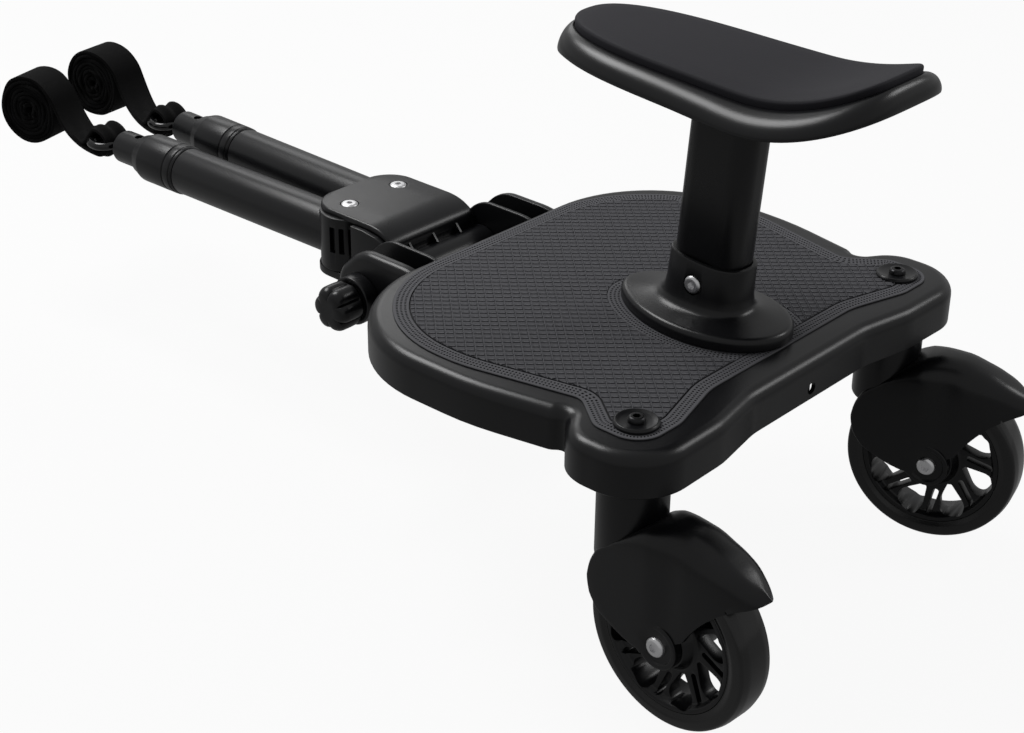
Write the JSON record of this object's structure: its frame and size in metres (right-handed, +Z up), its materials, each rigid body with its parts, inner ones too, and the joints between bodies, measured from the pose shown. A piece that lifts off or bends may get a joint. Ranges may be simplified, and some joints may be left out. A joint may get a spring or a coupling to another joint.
{
  "type": "stroller ride-on seat",
  "caption": "Wheeled footboard with a saddle seat on a post, swivel casters and telescopic arms whose straps tie it behind a pushchair.",
  "frame": {"origin": "top of the mat on the centre plane, where the child's feet stand in front of the seat", "axes": "+Y forward along the arms, +Z up, +X to the right of a child who faces the arms"},
  "size_m": [0.3511, 0.8735, 0.3752],
  "materials": {
    "satin_plastic": "satin near-black moulded plastic with a fine grain",
    "mat_rubber": "matt charcoal, rows of small ridges and a dotted border",
    "pad_foam": "matt dark soft foam skin",
    "gloss_plastic": "glossy black plastic",
    "tyre": "glossy black polyurethane",
    "webbing": "deep black woven hook-and-loop tape",
    "silver_steel": "bright zinc-plated steel",
    "black_steel": "blackened steel"
  },
  "bodies": {
    "knob_left": {"hinge_knob_left": "satin_plastic"},
    "knob_right": {"hinge_knob_right": "satin_plastic"},
    "connector": {"connector_body": "satin_plastic", "connector_cover": "satin_plastic", "arm_pivot_screw_left": "silver_steel", "arm_pivot_screw_right": "silver_steel"},
    "arm_left": {"arm_tube_left": "satin_plastic"},
    "arm_right": {"arm_tube_right": "satin_plastic"},
    "collar_left": {"lock_collar_left": "satin_plastic"},
    "collar_right": {"lock_collar_right": "satin_plastic"},
    "rod_left": {"inner_rod_left": "satin_plastic", "rod_pin_left": "black_steel"},
    "rod_right": {"inner_rod_right": "satin_plastic", "rod_pin_right": "black_steel"},
    "eye_left": {"strap_eye_left": "gloss_plastic", "strap_left": "webbing"},
    "eye_right": {"strap_eye_right": "gloss_plastic", "strap_right": "webbing"},
    "caster_left": {"caster_fork_left": "satin_plastic", "axle_bolt_left": "silver_steel", "axle_nut_left": "silver_steel"},
    "caster_right": {"caster_fork_right": "satin_plastic", "axle_bolt_right": "silver_steel", "axle_nut_right": "silver_steel"},
    "wheel_left": {"wheel_rim_left": "satin_plastic", "tyre_left": "tyre", "wheel_bearing_left_a": "silver_steel", "wheel_bearing_left_b": "silver_steel"},
    "wheel_right": {"wheel_rim_right": "satin_plastic", "tyre_right": "tyre", "wheel_bearing_right_a": "silver_steel", "wheel_bearing_right_b": "silver_steel"},
    "root": {"platform": "satin_plastic", "anti_slip_mat": "mat_rubber", "caster_washer_left": "satin_plastic", "caster_washer_right": "satin_plastic", "caster_pivot_screw_left": "black_steel", "caster_pivot_screw_right": "black_steel", "stem_bush_left": "satin_plastic", "stem_bush_right": "satin_plastic", "seat_base": "satin_plastic", "seat_base_bolt": "silver_steel", "seat_base_nut": "silver_steel", "seat_base_screw_1": "silver_steel", "seat_base_screw_2": "silver_steel", "seat_base_screw_3": "silver_steel", "seat_base_screw_4": "silver_steel", "seat_post": "satin_plastic", "seat_shell": "satin_plastic", "seat_screw_left": "silver_steel", "seat_screw_right": "silver_steel", "seat_pad": "pad_foam", "hinge_bolt": "silver_steel", "knob_washer_left": "satin_plastic", "knob_washer_right": "satin_plastic"}
  },
  "joints": [
    {"name": "connector_tilt", "type": "hinge", "parent": "root", "child": "connector", "pos_m": [0, 0.129, -0.039], "axis": [1, 0, 0], "range_deg": [-25, 90]},
    {"name": "knob_left_turn", "type": "hinge", "parent": "root", "child": "knob_left", "pos_m": [-0.098, 0.129, -0.039], "axis": [1, 0, 0], "continuous": true},
    {"name": "knob_right_turn", "type": "hinge", "parent": "root", "child": "knob_right", "pos_m": [0.098, 0.129, -0.039], "axis": [1, 0, 0], "continuous": true},
    {"name": "arm_left_swing", "type": "hinge", "parent": "connector", "child": "arm_left", "pos_m": [-0.0247, 0.1957, -0.03], "axis": [0, 0, 1], "range_deg": [0, 75]},
    {"name": "collar_left_twist", "type": "hinge", "parent": "arm_left", "child": "collar_left", "pos_m": [-0.02969, 0.41564, -0.03], "axis": [-0.0227, 0.9997, 0], "range_deg": [0, 90]},
    {"name": "rod_left_slide", "type": "slide", "parent": "arm_left", "child": "rod_left", "axis": [-0.0227, 0.9997, 0], "range_m": [-0.02, 0.09]},
    {"name": "eye_left_swivel", "type": "hinge", "parent": "rod_left", "child": "eye_left", "pos_m": [-0.03078, 0.46343, -0.03], "axis": [-0.0227, 0.9997, 0], "range_deg": [-90, 90]},
    {"name": "arm_right_swing", "type": "hinge", "parent": "connector", "child": "arm_right", "pos_m": [0.0247, 0.1957, -0.03], "axis": [0, 0, -1], "range_deg": [0, 75]},
    {"name": "collar_right_twist", "type": "hinge", "parent": "arm_right", "child": "collar_right", "pos_m": [0.02969, 0.41564, -0.03], "axis": [0.0227, 0.9997, 0], "range_deg": [0, 90]},
    {"name": "rod_right_slide", "type": "slide", "parent": "arm_right", "child": "rod_right", "axis": [0.0227, 0.9997, 0], "range_m": [-0.02, 0.09]},
    {"name": "eye_right_swivel", "type": "hinge", "parent": "rod_right", "child": "eye_right", "pos_m": [0.03078, 0.46343, -0.03], "axis": [0.0227, 0.9997, 0], "range_deg": [-90, 90]},
    {"name": "caster_left_swivel", "type": "hinge", "parent": "root", "child": "caster_left", "pos_m": [-0.1375, -0.165, -0.03], "axis": [0, 0, 1], "continuous": true},
    {"name": "caster_right_swivel", "type": "hinge", "parent": "root", "child": "caster_right", "pos_m": [0.1375, -0.165, -0.03], "axis": [0, 0, 1], "continuous": true},
    {"name": "wheel_left_spin", "type": "hinge", "parent": "caster_left", "child": "wheel_left", "pos_m": [-0.13942, -0.20566, -0.126], "axis": [0.9989, -0.0471, 0], "continuous": true},
    {"name": "wheel_right_spin", "type": "hinge", "parent": "caster_right", "child": "wheel_right", "pos_m": [0.14783, -0.20437, -0.126], "axis": [0.9673, 0.2538, 0], "continuous": true}
  ]
}
